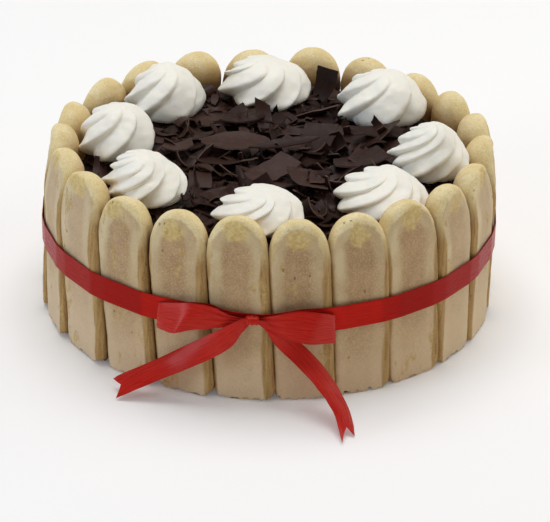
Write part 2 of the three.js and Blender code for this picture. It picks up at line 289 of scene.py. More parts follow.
studio = {
    "floorColors": ((245, 244, 243), (248, 247, 246)),
    "floorMottle": 0.4,
    "floorGlow": 0.1,
    "floorSize": 8.0,
    "floorDrop": 0.2 * mm,
    "skyColor": (250, 250, 250),
    "skyStrength": 0.36,
    "aim": (0, 0, 0.05),
    # name: place, size, watts, color
    "lamps": {
        "above": ((0, 0.35, 1.7), 1.2, 18, (255, 255, 255)),
        "left": ((-1.25, -0.6, 0.36), 0.35, 4.2, (208, 228, 255)),
        "right": ((1.4, 0.25, 0.6), 0.9, 3.8, (255, 252, 244)),
    },
}


def makeStudio():
    bpy.ops.mesh.primitive_plane_add(size=studio["floorSize"], location=(0, 0, -studio["floorDrop"]))
    floor = added("floor")
    colors = studio["floorColors"]
    f = Finish("floorPaint", 0.7, Emission_Color=shade(colors[1]), Emission_Strength=studio["floorGlow"])
    floor.data.materials.append(f.wear(f.blend(f.noise(studio["floorMottle"], 3.0), *colors)))
    world = bpy.data.worlds.new("studio")
    world.use_nodes = True
    sky = world.node_tree.nodes["Background"]
    sky.inputs["Color"].default_value = shade(studio["skyColor"])
    sky.inputs["Strength"].default_value = studio["skyStrength"]
    bpy.context.scene.world = world
    for name, (place, size, watts, color) in studio["lamps"].items():
        lamp = bpy.data.lights.new(name, "AREA")
        lamp.size = size
        lamp.energy = watts
        lamp.color = shade(color)[:3]
        holder = link(bpy.data.objects.new(name, lamp))
        holder.location = place
        holder.rotation_euler = (Vector(studio["aim"]) - Vector(place)).to_track_quat("-Z", "Y").to_euler()
    bpy.context.scene.view_settings.view_transform = "Standard"


makeCamera()
makeStudio()
print("camera, floor and light ready")


# Ladyfingers

finger = {
    "count": 22,
    "tall": 93 * mm,
    "below": 1.6 * mm,  # spare length that the cut at the foot takes off
    "tip": 19.5 * mm,  # length of the rounded end
    "tipSteps": 10,
    "tipSquare": 0.52,
    "tipFull": 0.995,  # share of the half width that is rounded
    "footCorner": 6.5 * mm,
    "footSteps": 4,
    "face": (13.3 * mm, 89.4 * mm),  # half width and height of the flat face
    # from there inward, in mm: depth, half width and height of the outline
    "outlines": (
        (0.3, 13.9, 90.5), (0.9, 14.6, 91.6), (1.8, 15.15, 92.5), (2.9, 15.4, 93.0), (5.4, 15.2, 92.9),
        (8.0, 14.7, 92.3), (10.4, 13.7, 90.8), (12.4, 12.0, 88.4), (14.1, 9.2, 85.2), (15.2, 5.6, 81.5),
        (15.8, 2.0, 78.0),
    ),
    "widest": 2.9 * mm,  # how deep its greatest width is
    "voxel": 0.9 * mm,
    "polish": 5,
    "curl": (2.6 * mm, 5 * mm, 24 * mm),  # how far the tip turns inward, its free end, what follows it
    "packedDeep": 15.8 * mm,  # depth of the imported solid
    "footBand": 0.5 * mm,  # its points this low are its foot, and so near its top its tip
    "tipBand": 2 * mm,
    "neckBand": (20 * mm, 12 * mm),
    "press": 0.8 * mm,  # how much wider it is than its place
    "fan": 2.6,  # most degrees that one is turned to show a side
    "fanTurn": -93.8,  # where they are turned most
    "bare": (1.7 * mm, 0.2),  # how far the sugar stops short of that side, and its share at the tip
    "bareFrom": 80 * mm,  # where that share starts to grow, and over what length
    "bareOver": 24 * mm,
    "leftward": (4, 5, 6),  # these show their left side, the others their right one
    "lumps": (16 * mm, 0.9 * mm),
    "dimples": (5 * mm, 0.35 * mm),
    "bites": (1.7 * mm, 2.0 * mm),
    "biteReach": 3.5 * mm,
    "biteContrast": 2.2,
    "biteStrength": 0.85,
}


def makeFinger():
    s = finger
    half, tall = s["face"]
    length = tall + s["below"]
    bpy.ops.mesh.primitive_plane_add(size=1, location=(0, 0, tall - length / 2), rotation=(pi / 2, 0, 0))
    piece = added("fingerMaster")
    piece.scale = (2 * half, length, 1)
    settle(piece)
    editing(piece)
    pick(piece, lambda p: p.z < 0)
    bpy.ops.mesh.bevel(offset=s["footCorner"], segments=s["footSteps"], profile=0.5, affect="VERTICES")
    pick(piece, lambda p: p.z > tall - 1 * mm)
    rounded = half * s["tipFull"]
    bpy.ops.mesh.bevel(offset=rounded, segments=s["tipSteps"], profile=s["tipSquare"], affect="VERTICES")
    pick(piece, lambda p: p.z > tall - half - 0.1 * mm)
    bpy.ops.transform.resize(value=(1, 1, s["tip"] / half), center_override=(0, 0, tall))
    bpy.ops.mesh.select_mode(type="FACE")
    bpy.ops.mesh.select_all(action="SELECT")
    was = (0, half, tall)
    for depth, wide, high in s["outlines"]:
        inward = depth * mm - was[0]
        bpy.ops.mesh.extrude_region_move(TRANSFORM_OT_translate={"value": (0, inward, 0)})
        ratio = (wide * mm / was[1], 1, high * mm / was[2])
        bpy.ops.transform.resize(value=ratio, center_override=(0, 0, 0))
        was = (depth * mm, wide * mm, high * mm)
    doneEditing()
    faceOut(piece)
    evenNet(piece, s["voxel"])
    relax = piece.modifiers.new("relax", "SMOOTH")
    relax.iterations = s["polish"]
    applyModifiers(piece)
    smooth(piece)
    rememberPlace(piece, "fingerPlace")
    far, free, reach = s["curl"]
    top = max(v.co.z for v in piece.data.vertices)
    editing(piece)
    pick(piece, lambda p: p.z > top - free)
    follow = {"proportional_edit_falloff": "SMOOTH", "proportional_size": reach}
    bpy.ops.transform.translate(value=(0, far, 0), use_proportional_edit=True, **follow)
    doneEditing()
    return piece


def fingerStance(name):
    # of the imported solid: turn and radius of the face at the foot and the tip, the height, the width
    s = finger
    points = [v.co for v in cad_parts[name].data.vertices]
    top = max(p.z for p in points)
    foot = [p for p in points if p.z < s["footBand"]]
    tip = [p for p in points if p.z > top - s["tipBand"]]
    neck = [p for p in points if top - s["neckBand"][0] < p.z < top - s["neckBand"][1]]
    turns = [atan2(sum(p.y for p in ring), sum(p.x for p in ring)) for ring in (foot, tip)]
    if turns[0] - turns[1] > pi:
        turns[1] += 2 * pi
    elif turns[1] - turns[0] > pi:
        turns[0] += 2 * pi
    outward = [Vector((cos(t), sin(t), 0)) for t in turns]
    faces = [max(p.dot(out) for p in ring) for ring, out in zip((foot, neck), outward)]
    sideways = Vector((-outward[0].y, outward[0].x, 0))
    wide = max(p.dot(sideways) for p in foot) - min(p.dot(sideways) for p in foot)
    return turns, faces, top, wide


def placeFinger(master, number):
    s = finger
    name = f"ladyfinger_{number:02d}"
    way = -1 if number in s["leftward"] else 1
    (footTurn, tipTurn), (footFace, tipFace), top, packedWide = fingerStance(name)
    ahead = max(0.0, cos((footTurn + tipTurn) / 2 - radians(s["fanTurn"])))
    fan = way * radians(s["fan"]) * ahead ** 2
    piece = copyOf(master, name + "_sponge")
    face = (footFace + tipFace) / 2 - packedWide / 2 * abs(sin(fan))
    wide = packedWide * (face - s["widest"]) / (face - s["packedDeep"] / 2) + s["press"]
    full = 2 * max(abs(v.co.x) for v in master.data.vertices)
    lean = atan(face * (footTurn - tipTurn) / top)
    tilt = atan((footFace - tipFace) / top)
    stretch = Matrix.Diagonal((wide / full, 1, top / s["tall"], 1))
    middle = Matrix.Translation((0, 0, top / 2))
    tip = middle @ Matrix.Rotation(-lean, 4, "Y") @ Matrix.Rotation(-tilt, 4, "X") @ middle.inverted()
    turn = (footTurn + tipTurn) / 2 + pi / 2
    ring = Matrix.Rotation(turn, 4, "Z") @ Matrix.Translation((0, -face, 0))
    ring = ring @ Matrix.Rotation(-fan, 4, "Z")
    for spot in piece.data.attributes["fingerPlace"].data:
        below = min(max((s["bareFrom"] - spot.vector.z) / s["bareOver"], s["bare"][1]), 1)
        spot.vector.x += way * s["bare"][0] * below
    piece.matrix_world = ring @ tip @ stretch
    settle(piece)
    editing(piece, everything=True)
    bpy.ops.mesh.bisect(plane_co=(0, 0, 0), plane_no=(0, 0, 1), use_fill=True, clear_inner=True)
    doneEditing()
    foot = piece.vertex_groups.new(name="foot")
    for vertex in piece.data.vertices:
        if vertex.co.z < s["biteReach"]:
            foot.add([vertex.index], 1 - vertex.co.z / s["biteReach"], "REPLACE")
    unevenness(piece, *s["lumps"])
    unevenness(piece, *s["dimples"])
    bites = unevenness(piece, *s["bites"], direction="Z", middle=0.0, group="foot", depth=1)
    bites.contrast = s["biteContrast"]
    bites.intensity = s["biteStrength"]
    applyModifiers(piece)
    for vertex in piece.data.vertices:
        vertex.co.z = max(vertex.co.z, 0)
    return piece


crumbColors = {  # as on a screen; two where a pattern runs from one to the other
    "face": ((166, 131, 90), (182, 147, 105)),
    "sugar": (214, 189, 150),
    "rim": (222, 204, 160),
    # painted light: the paler colour low down, for light bounced up from the floor
    "foot": (226, 199, 163),
    # painted light from the side lamps, on the ladyfingers at the left and right
    "paintedSideLight": (226, 208, 176),
    "side": ((150, 112, 62), (180, 145, 92)),
    "tip": ((230, 208, 152), (242, 226, 180)),
    "speck": (196, 164, 98),
    "baked": (198, 150, 84),
    # painted shade in the crevices between ladyfingers
    "seam": (96, 58, 30),
    "patch": ((200, 168, 98), (222, 198, 134)),
    "worn": ((170, 134, 78), (206, 176, 112)),
    # painted shade inside the pits
    "pitShade": (138, 108, 58),
}


def spongeFinish():
    f = Finish("ladyfingerCrumb", 0.9)
    colors = crumbColors
    across, depth, high = f.split(f.attribute("fingerPlace"))
    grain = f.noise(0.8 * mm, 3, 0.7)
    mottle = f.band(f.noise(9 * mm, 4, 0.6), 0.3, 0.7)
    own = f.noise(38 * mm, 0)  # differs from one ladyfinger to the next
    other = f.noise(31 * mm, 0, stretch=(1.3, 1.3, 0.4))
    onFace = f.band(depth, 2.2 * mm, 0.8 * mm)
    # how far from the middle of the sugared face, or past its shoulders from the middle of the tip
    aside = f.math("ADD", across, f.band(own, 0.35, 0.65, (-0.8 * mm, 1.0 * mm)))
    over = f.math("MAXIMUM", f.math("SUBTRACT", high, 77 * mm), 0.0)
    ragged = f.band(high, 60 * mm, 84 * mm, (1.4 * mm, 6 * mm))
    edge = f.strayed(f.away(aside, over), f.noise(7 * mm, 3), ragged)
    # the flat face: tan under a pale grain of sugar
    face = f.blend(mottle, *colors["face"])
    face = f.blend(f.band(grain, 0.38, 0.74, (0.0, 0.55)), face, colors["sugar"])
    # sugar lies thicker along its rim near the tip; paler towards the foot is painted light, for light
    # bounced up from the floor
    rim = f.times(f.band(edge, 4.8 * mm, 9.8 * mm), f.band(high, 24 * mm, 80 * mm, (0.3, 0.85)))
    rim = f.times(rim, f.band(f.noise(14 * mm, 1), 0.38, 0.6, (0.6, 1.0)))
    rim = f.times(rim, f.band(across, 9 * mm, -6 * mm, (0.7, 1.0)), 0.9)
    face = f.blend(rim, face, colors["rim"])
    # painted light: paler towards the foot, for light bounced up from the floor
    face = f.blend(f.band(high, 44 * mm, 4 * mm, (0.0, 0.55)), face, colors["foot"])
    # painted light: paler on the ladyfingers at the left and right of the cake, where the side lamps fall
    x, _, _ = f.split(f.place)
    face = f.blend(f.band(f.math("ABSOLUTE", x), 62 * mm, 112 * mm, (0.0, 0.4)), face, colors["paintedSideLight"])
    # bare sponge: pale yellow at the tip, ochre and streaked down the sides
    streak = f.noise(1.3 * mm, 3, 0.6, stretch=(1, 1, 0.06))
    side = f.blend(f.band(streak, 0.35, 0.65), *colors["side"])
    bare = f.blend(f.band(high, 66 * mm, 88 * mm), side, f.blend(mottle, *colors["tip"]))
    bare = f.blend(f.band(grain, 0.3, 0.6, (0.4, 0.0)), bare, colors["speck"])
    baked = f.times(f.band(depth, 4.5 * mm, 12 * mm), f.band(high, 96 * mm, 74 * mm), 0.8)
    bare = f.blend(baked, bare, colors["baked"])
    outside = f.math("MAXIMUM", f.band(depth, 0.4 * mm, 1.4 * mm), f.band(edge, 11.9 * mm, 13.3 * mm))
    color = f.blend(outside, face, bare)
    # painted shade: dark brown where it is pressed against the next one, for the shadow in the crevice
    # between them
    seam = f.times(f.band(depth, 2.2 * mm, 4.6 * mm), f.band(high, 84 * mm, 72 * mm))
    color = f.blend(f.times(seam, f.band(depth, 13 * mm, 9 * mm)), color, colors["seam"])
    # a mottled patch behind the tip, where the crust is gone
    up = f.math("DIVIDE", f.math("SUBTRACT", f.strayed(high, own, 12 * mm), 85.5 * mm), 5.4 * mm)
    out = f.math("DIVIDE", f.strayed(aside, other, 18 * mm), 6.0 * mm)
    gone = f.strayed(f.away(up, out), f.noise(3.4 * mm, 4, 0.65), 1.7)
    patch = f.times(f.band(gone, 1.2, 0.75), onFace, f.band(other, 0.3, 0.5, (0.4, 0.8)))
    blotch = f.band(f.noise(2.0 * mm, 3, 0.7), 0.35, 0.65)
    color = f.blend(patch, color, f.blend(blotch, *colors["patch"]))
    # on some of them more of it shows in spots one above another
    worn = f.band(f.noise(6 * mm, 3, 0.6, stretch=(1, 1, 0.45)), 0.56, 0.63)
    worn = f.times(worn, f.band(other, 0.5, 0.56), onFace)
    color = f.blend(f.times(worn, 0.6), color, f.blend(blotch, *colors["worn"]))
    # small pits, bumped in and darkened with painted shade
    rare = f.math("MAXIMUM", f.band(f.noise(15 * mm, 2), 0.56, 0.62), worn)
    hole = f.times(f.band(f.cells(5 * mm, (1, 1, 0.7)), 0.15, 0.06), rare)
    color = f.blend(f.times(hole, 0.7), color, colors["pitShade"])
    crumb = f.bump(grain, 0.22 * mm)
    coarse = f.bump(f.noise(2.4 * mm, 3), 0.4 * mm, 0.8, crumb)
    return f.wear(color, None, f.bump(f.math("SUBTRACT", 1.0, hole), 0.5 * mm, 1.0, coarse))


def makeFingers():
    master = makeFinger()
    crumb = spongeFinish()
    for number in range(1, finger["count"] + 1):
        dress(placeFinger(master, number), crumb, "ladyfinger", f"ladyfinger_{number:02d}")
    discard(master)
    print("ladyfingers stand")


makeFingers()


# Cake inside the ring

def dressCore():
    f = Finish("cakeSponge", 0.85)
    pores = f.cells(2.2 * mm)
    color = f.blend(f.noise(8 * mm, 4), (214, 190, 140), (236, 222, 190))
    # painted shade: darker in the pores
    color = f.blend(f.band(pores, 0.25, 0.05, (0.0, 0.5)), color, (168, 128, 78))
    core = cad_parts["cake_core"]
    core.data.materials.clear()
    core.data.materials.append(f.wear(color, None, f.bump(pores, 0.4 * mm)))


dressCore()


# Cream rosettes

rosette = {
    "count": 8,
    "half": 20 * mm,
    "tall": 24 * mm,
    "seed": 5,
    # ridges, how far they wind round in degrees, how far the top leans
    "swirls": ((7, 88.0, (3.0, 2.0)), (6, 70.0, (1.0, 2.0)), (8, 108.0, (3.0, 1.0))),
    "swirlOf": (0, 2, 1, 1, 0, 1, 2, 0),
    # round one ridge: where on it, and how far out; a long slope ends in a steep drop
    "star": ((0.0, 0.78), (0.08, 0.85), (0.3, 0.94), (0.52, 1.02), (0.66, 1.05), (0.8, 0.99), (0.94, 0.85)),
    # up the rosette: share of its height, share of its half width, how much of the star shows
    "foot": (0.0, 0.72, 0.7),
    "rise": (
        (0.03, 0.82, 0.9), (0.12, 0.94, 1.1), (0.24, 1.0, 1.2), (0.37, 0.99, 1.15), (0.5, 0.95, 1.1),
        (0.62, 0.87, 1.1), (0.73, 0.76, 1.05), (0.83, 0.62, 1.0), (0.91, 0.46, 0.9), (0.97, 0.27, 0.7),
        (1.0, 0.09, 0.3),
    ),
    "tighten": 0.45,  # the ridges wind tighter toward the top
    "ridgeShift": 0.26,
    "ridgeDepth": (0.5, 0.92),
    "points": (0.0, 0.2),  # how much further some ridges reach low down
    "pointAt": (0.26, 0.66),  # share of the height, and of the way round the ridge
    "pointReach": 0.3,
    "footBand": 0.1 * mm,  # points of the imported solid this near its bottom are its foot
    "bellyBand": 10 * mm,
    "rimFrom": 0.3,  # share of the half width from which they can be creases
    "finer": 2,
    "lumps": (14 * mm, 3.0 * mm),
    "ripples": (4 * mm, 0.4 * mm),
}


def makeRosette(swirl):
    s = rosette
    ridges, _, (leanX, leanY) = s["swirls"][swirl]
    steps = len(s["star"])
    count = ridges * steps
    bpy.ops.mesh.primitive_circle_add(vertices=count, radius=s["half"] * s["foot"][1], fill_type="NGON")
    piece = added(f"rosetteMaster{swirl}")
    editing(piece, "FACE", True)
    was = [0.0, s["foot"][1], (0.0, 0.0)]
    for share, size, _ in s["rise"]:
        lean = (leanX * mm * share**2, leanY * mm * share**2)
        shift = (lean[0] - was[2][0], lean[1] - was[2][1], (share - was[0]) * s["tall"])
        bpy.ops.mesh.extrude_region_move(TRANSFORM_OT_translate={"value": shift})
        ratio = size / was[1]
        bpy.ops.transform.resize(value=(ratio, ratio, 1), center_override=(*lean, 0))
        was = [share, size, lean]
    doneEditing()
    shapeStar(piece, swirl, steps)
    faceOut(piece)
    finer = piece.modifiers.new("finer", "SUBSURF")
    finer.levels = finer.render_levels = s["finer"]
    applyModifiers(piece)
    smooth(piece)
    return piece


def shapeStar(piece, swirl, steps):
    # presses the creases in and winds the ridges round, ring by ring, no two ridges quite alike
    s = rosette
    ridges, twist, lean = s["swirls"][swirl]
    draw = random.Random(s["seed"] + swirl)
    creases = [ridge + draw.uniform(-1, 1) * s["ridgeShift"] for ridge in range(ridges)]
    creases.append(creases[0] + ridges)
    depths = [draw.uniform(*s["ridgeDepth"]) for _ in range(ridges)]
    depths.append(depths[0])
    points = [draw.uniform(*s["points"]) for _ in range(ridges)]
    pointHigh, pointPart = s["pointAt"]
    for share, size, shown in (s["foot"], *s["rise"]):
        middle = Vector((lean[0], lean[1], 0)) * mm * share**2
        ring = [v for v in piece.data.vertices if abs(v.co.z - share * s["tall"]) < 1e-6]
        ring.sort(key=lambda v: atan2(v.co.y - middle.y, v.co.x - middle.x) % (2 * pi))
        wound = twist * (share + s["tighten"] * share**3)
        low = max(0.0, 1 - abs(share - pointHigh) / s["pointReach"])
        for index, vertex in enumerate(ring):
            part, reach = s["star"][index % steps]
            ridge = index // steps
            at = creases[ridge] + part * (creases[ridge + 1] - creases[ridge])
            deep = depths[ridge] + part * (depths[ridge + 1] - depths[ridge])
            turn = radians(360 / ridges * at + wound)
            sharp = low * max(0.0, 1 - abs(part - pointPart) / s["pointReach"])
            radius = s["half"] * size * (1 - (1 - reach) * shown * deep + points[ridge] * sharp)
            vertex.co.x = middle.x + radius * cos(turn)
            vertex.co.y = middle.y + radius * sin(turn)


def rosetteStance(name):
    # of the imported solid: the middle of its foot, half width, height and turn
    s = rosette
    points = [v.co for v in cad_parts[name].data.vertices]
    low = min(p.z for p in points)
    base = [p for p in points if p.z < low + s["footBand"]]
    middle = sum(base, Vector()) / len(base)
    belly = [p for p in points if p.z < low + s["bellyBand"]]
    half = max(hypot(p.x - middle.x, p.y - middle.y) for p in belly)
    rim = [p for p in base if (p - middle).length > s["rimFrom"] * half]
    crease = min(rim, key=lambda p: (p - middle).length)
    turn = atan2(crease.y - middle.y, crease.x - middle.x)
    return middle, half, max(p.z for p in points) - low, turn


def creamFinish():
    soft = {"Subsurface_Weight": 0.4, "Subsurface_Radius": (0.6, 0.5, 0.35), "Subsurface_Scale": 5 * mm}
    f = Finish("whippedCream", 0.5, **soft)
    color = f.blend(f.noise(14 * mm, 3), (244, 239, 225), (249, 245, 235))
    fine = f.bump(f.noise(0.8 * mm, 2), 0.05 * mm)
    return f.wear(color, None, f.bump(f.noise(3.5 * mm, 3), 0.25 * mm, 0.7, fine))


def makeRosettes():
    s = rosette
    masters = [makeRosette(swirl) for swirl in range(len(s["swirls"]))]
    cream = creamFinish()
    for number in range(1, s["count"] + 1):
        name = f"cream_rosette_{number}"
        middle, half, tall, turn = rosetteStance(name)
        piece = copyOf(masters[s["swirlOf"][number - 1]], name + "_piped")
        wide = half / s["half"]
        size = Matrix.Diagonal((wide, wide, tall / s["tall"], 1))
        piece.matrix_world = Matrix.Translation(middle) @ size @ Matrix.Rotation(turn, 4, "Z")
        settle(piece)
        unevenness(piece, *s["lumps"])
        unevenness(piece, *s["ripples"])
        applyModifiers(piece)
        dress(piece, cream, "cream", name)
    for master in masters:
        discard(master)
    print("rosettes piped")


makeRosettes()


# Chocolate: an uneven bed with curled shavings heaped on it

bed = {
    "radius": 97.2 * mm,
    "low": 65.6 * mm,
    "top": 73.5 * mm,
    "sides": 96,
    "corner": 1.5 * mm,
    "net": 1.7 * mm,
    "heaps": (22 * mm, 5.0 * mm),
    "crumbs": (4 * mm, 2.6 * mm),
    "clear": 0.6 * mm,
    # a rosette's own room: shares of its half width at its belly and its foot, height of the foot, slope
    "room": (0.96, 0.72, 1.5 * mm, 2),
}

flake = {
    "seed": 7,
    "variants": (1, 2, 3, 4),  # seeds: each kind is modelled in as many shapes
    "thick": 0.8 * mm,
    # length, width, steps along and across, curl along and across in degrees, how far its corners and its
    # edges stray as a share of the width, how much narrower its ends are
    "kinds": {
        "plate": (24, 15, 8, 5, 38, 0, 0.2, 0.03, 0.1),
        "sheet": (20, 17, 7, 6, 26, 20, 0.24, 0.03, 0.0),
        "shard": (18, 8.5, 7, 3, 60, 0, 0.3, 0.05, 0.4),
        "curl": (22, 8.5, 12, 3, 165, 0, 0.15, 0.04, 0.2),
        "quill": (28, 13, 6, 8, 16, 130, 0.2, 0.03, 0.4),
        "strip": (27, 5.5, 10, 2, 75, 0, 0.35, 0.06, 0.5),
        "chip": (8, 6, 3, 3, 25, 0, 0.3, 0.08, 0.0),
        "shred": (12, 1.9, 6, 1, 105, 0, 0.2, 0.1, 0.0),
        "blade": (34, 13, 14, 6, 14, 40, 0.06, 0.02, 0.85),
    },
    "pieces": {
        "chocolate_flakes": ("plate", "sheet", "shard"),
        "chocolate_curls": ("curl", "quill", "strip", "blade"),
        "chocolate_shreds": ("chip", "shred"),
    },
    # the heap, from its bottom up: how many, kinds, most degrees of tilt, height over the bed, size
    "layers": (
        (170, ("plate", "sheet"), 14, (0.0, 1.2), (0.8, 1.05)),
        (170, ("plate", "shard", "sheet"), 24, (1.2, 3.0), (0.65, 1.0)),
        (130, ("plate", "quill", "shard"), 32, (2.5, 4.6), (0.6, 0.95)),
        (190, ("chip", "shred", "strip"), 40, (2.0, 5.0), (0.5, 1.0)),
        (80, ("shard", "curl", "strip"), 46, (3.6, 5.6), (0.5, 0.9)),
    ),
    "goldenTurn": 137.508,
    "calmFrom": 78 * mm,  # farther out than this they lie lower and flatter
    "calm": 0.4,
    "tries": 6,  # each try at a place is a little smaller
    "shrink": 0.09,
    "faceUp": 0.45,  # share of them with the hollow side up; the others lie a little higher
    "widths": (0.8, 1.15),
    "upsideLift": 1.2 * mm,
    # listed one by one: kind, x, y, z, length, width, turn, pitch, roll, tone
    "chosen": (
        ("blade", -18.5, 1, 83.5, 35, 17, 2, 1, 6, 1.0),
        ("blade", 6, -2, 84.5, 36, 8, 15, 3, 10, 0.3),
        ("plate", -5.2, 32.5, 83, 19, 7.5, 94, 33, 4, 0.5),
        ("plate", -16, 36, 81.5, 22, 18, 10, 6, -8, 0.3),
        ("plate", 27.5, 77.5, 83.5, 17, 12.5, 56, 58, 0, 0.0),
        ("plate", 23, 9, 81, 28, 17, 78, 8, -6, 0.3),
        ("sheet", 31, 38, 81.5, 24, 20, 35, -8, 10, 0.1),
        ("plate", 44, -12, 80.5, 27, 21, 20, 6, -10, 0.5),
        ("plate", -2, -28, 80.5, 28, 19, 40, 8, 10, 0.95),
        ("plate", 19, -38, 80.5, 26, 18, 100, -6, 12, 0.9),
        ("plate", -48, -2, 81.5, 15, 11, 10, 5, -5, 1.0),
        ("plate", 49, 22, 80, 26, 16, -24, 12, 10, 0.4),
        ("plate", -30, 78, 78.5, 20, 14, 70, 8, -6, 0.2),
        ("shard", -43, 38, 80.5, 24, 10, 28, 8, 16, 0.3),
        ("plate", 42, 56, 81, 24, 14, 12, 14, 10, 0.2),
        ("strip", 2, 50, 81.5, 34, 8, -14, 4, -20, 0.3),
        ("plate", -24, -16, 80, 26, 15, 150, -10, 16, 0.5),
        ("strip", -58, 22, 81, 30, 8, 62, 8, 22, 0.4),
        ("shard", 70, 26, 80, 22, 11, 105, 8, 10, 0.2),
    ),
}


def bedHeight(x, y):
    spot = Vector((x, y, 0)) / bed["heaps"][0]
    return bed["top"] + bed["heaps"][1] * noise.noise(spot)


def makeBed():
    s = bed
    bpy.ops.mesh.primitive_cylinder_add(vertices=s["sides"], radius=s["radius"], depth=s["top"] - s["low"])
    piece = added("chocolate_bed")
    middle = (s["top"] + s["low"]) / 2
    piece.location.z = middle
    settle(piece)
    editing(piece, "EDGE", True)
    bpy.ops.mesh.bevel(offset=s["corner"], segments=2)
    doneEditing()
    evenNet(piece, s["net"])
    applyModifiers(piece)
    for vertex in piece.data.vertices:
        if vertex.co.z > middle:
            vertex.co.z += bedHeight(vertex.co.x, vertex.co.y) - s["top"]
    upper = piece.vertex_groups.new(name="upper")
    upper.add([v.index for v in piece.data.vertices if v.co.z > middle], 1.0, "REPLACE")
    unevenness(piece, *s["crumbs"], direction="Z", group="upper")
    applyModifiers(piece)
    smooth(piece, 50)
    return piece


def makeFlake(kind, seed, finishes):
    length, width, along, across, curl, roll, corners, edges, taper = flake["kinds"][kind]
    bpy.ops.mesh.primitive_grid_add(x_subdivisions=along, y_subdivisions=across, size=1)
    piece = added(kind + "Master")
    piece.scale = (length * mm, width * mm, 1)
    settle(piece)
    draw = random.Random(seed)
    stray = [[Vector((draw.uniform(-1, 1), draw.uniform(-1, 1), 0)) for _ in "ab"] for _ in "ab"]
    for vertex in piece.data.vertices:
        u, v = vertex.co.x / (length * mm) + 0.5, vertex.co.y / (width * mm) + 0.5
        ends = [pair[0].lerp(pair[1], v) for pair in stray]
        vertex.co.y *= 1 - taper * (2 * u - 1) ** 2
        vertex.co += ends[0].lerp(ends[1], u) * corners * width * mm
    editing(piece, everything=True)
    bpy.ops.mesh.region_to_loop()
    bpy.ops.transform.vertex_random(offset=edges * width * mm, uniform=0.0, normal=0.0, seed=seed)
    doneEditing()
    rememberPlace(piece, "flakePlace")
    for finish in finishes:
        piece.data.materials.append(finish)
    wall = piece.modifiers.new("thickness", "SOLIDIFY")
    wall.thickness = flake["thick"]
    wall.offset = 0
    wall.material_offset_rim = 1
    applyModifiers(piece)
    rollUp(piece, 0, length * mm, radians(curl))
    if roll:
        rollUp(piece, 1, width * mm, radians(roll))
    faceOut(piece)
    return piece


def rollUp(piece, axis, size, angle):
    # bends a flat piece along x or y, hollow side up
    radius = size / angle
    for vertex in piece.data.vertices:
        bend = vertex.co[axis] / radius
        reach = radius - vertex.co.z
        vertex.co[axis] = reach * sin(bend)
        vertex.co.z = radius - reach * cos(bend)


def rosetteSpots():
    return [rosetteStance(f"cream_rosette_{number}")[:2] for number in range(1, rosette["count"] + 1)]


def flakeFits(net, spots):
    # clear of the ladyfingers, and under the rosettes or beside them
    belly, foot, footHeight, slope = bed["room"]
    for vertex in net.vertices:
        p = vertex.co
        if hypot(p.x, p.y) > bed["radius"] - bed["clear"] or p.z < bed["low"]:
            return False
        for middle, half in spots:
            away = hypot(p.x - middle.x, p.y - middle.y)
            above = p.z - middle.z
            if away < half * belly and above > footHeight and away < half * foot + above * slope:
                return False
    return True


def flakePlace(x, y, z, size, turn, pitch, roll):
    tip = Matrix.Rotation(radians(-pitch), 4, "Y") @ Matrix.Rotation(radians(roll), 4, "X")
    return Matrix.Translation((x, y, z)) @ Matrix.Rotation(radians(turn), 4, "Z") @ tip @ size


def heapFlakes(masters, spots):
    # the meshes of all the shavings in their places by kind, with a tone of its own for each
    s = flake
    draw = random.Random(s["seed"])
    nets = {kind: [] for kind in s["kinds"]}

    def lay(kind, matrix, tone):
        net = draw.choice(masters[kind]).data.copy()
        net.transform(matrix)
        if not flakeFits(net, spots):
            bpy.data.meshes.remove(net)
            return False
        shadeOf = net.attributes.new("tone", "FLOAT", "POINT")
        shadeOf.data.foreach_set("value", [tone] * len(net.vertices))
        nets[kind].append(net)
        return True

    for kind, x, y, z, length, width, turn, pitch, roll, tone in s["chosen"]:
        full = s["kinds"][kind]
        size = Matrix.Diagonal((length / full[0], width / full[1], 1, 1))
        lay(kind, flakePlace(x * mm, y * mm, z * mm, size, turn, pitch, roll), tone)
    for count, kinds, most, lifts, sizes in s["layers"]:
        offset = draw.uniform(0, 360)
        for spot in range(count):
            radius = bed["radius"] * sqrt((spot + 0.5) / count)
            turn = radians(offset + spot * s["goldenTurn"])
            x, y = radius * cos(turn), radius * sin(turn)
            calm = s["calm"] if radius > s["calmFrom"] else 1.0
            for attempt in range(s["tries"]):
                kind = draw.choice(kinds)
                grown = draw.uniform(*sizes) * (1 - s["shrink"] * attempt)
                upside = draw.random() >= s["faceUp"]
                size = Matrix.Diagonal((grown, grown * draw.uniform(*s["widths"]), 1, 1))
                if upside:
                    size = Matrix.Rotation(pi, 4, "X") @ size
                lift = draw.uniform(*lifts) * calm * mm
                z = bedHeight(x, y) + lift + (s["upsideLift"] if upside else 0)
                tilts = (draw.uniform(-most, most) * calm for _ in range(2))
                if lay(kind, flakePlace(x, y, z, size, draw.uniform(0, 360), *tilts), draw.random()):
                    break
    return nets


def joined(nets, name):
    parts = [link(bpy.data.objects.new(name, net)) for net in nets]
    only(parts[0])
    for part in parts:
        part.select_set(True)
    bpy.ops.object.join()
    return added(name)


chocolateColors = {
    "bed": ((44, 27, 21), (66, 44, 36)),
    "shaved": ((34, 18, 14), (60, 37, 29)),
    # the rims of the shavings: lighter broken chocolate, partly a painted highlight where the cut edges catch
    # the light
    "brokenEdgeAndGlint": ((70, 50, 42), (96, 75, 65)),
    "scraped": (80, 61, 53),
    # painted sheen
    "greySheen": (98, 80, 72),
    # painted shade for the gaps under the shavings
    "deep": (20, 12, 9),
}


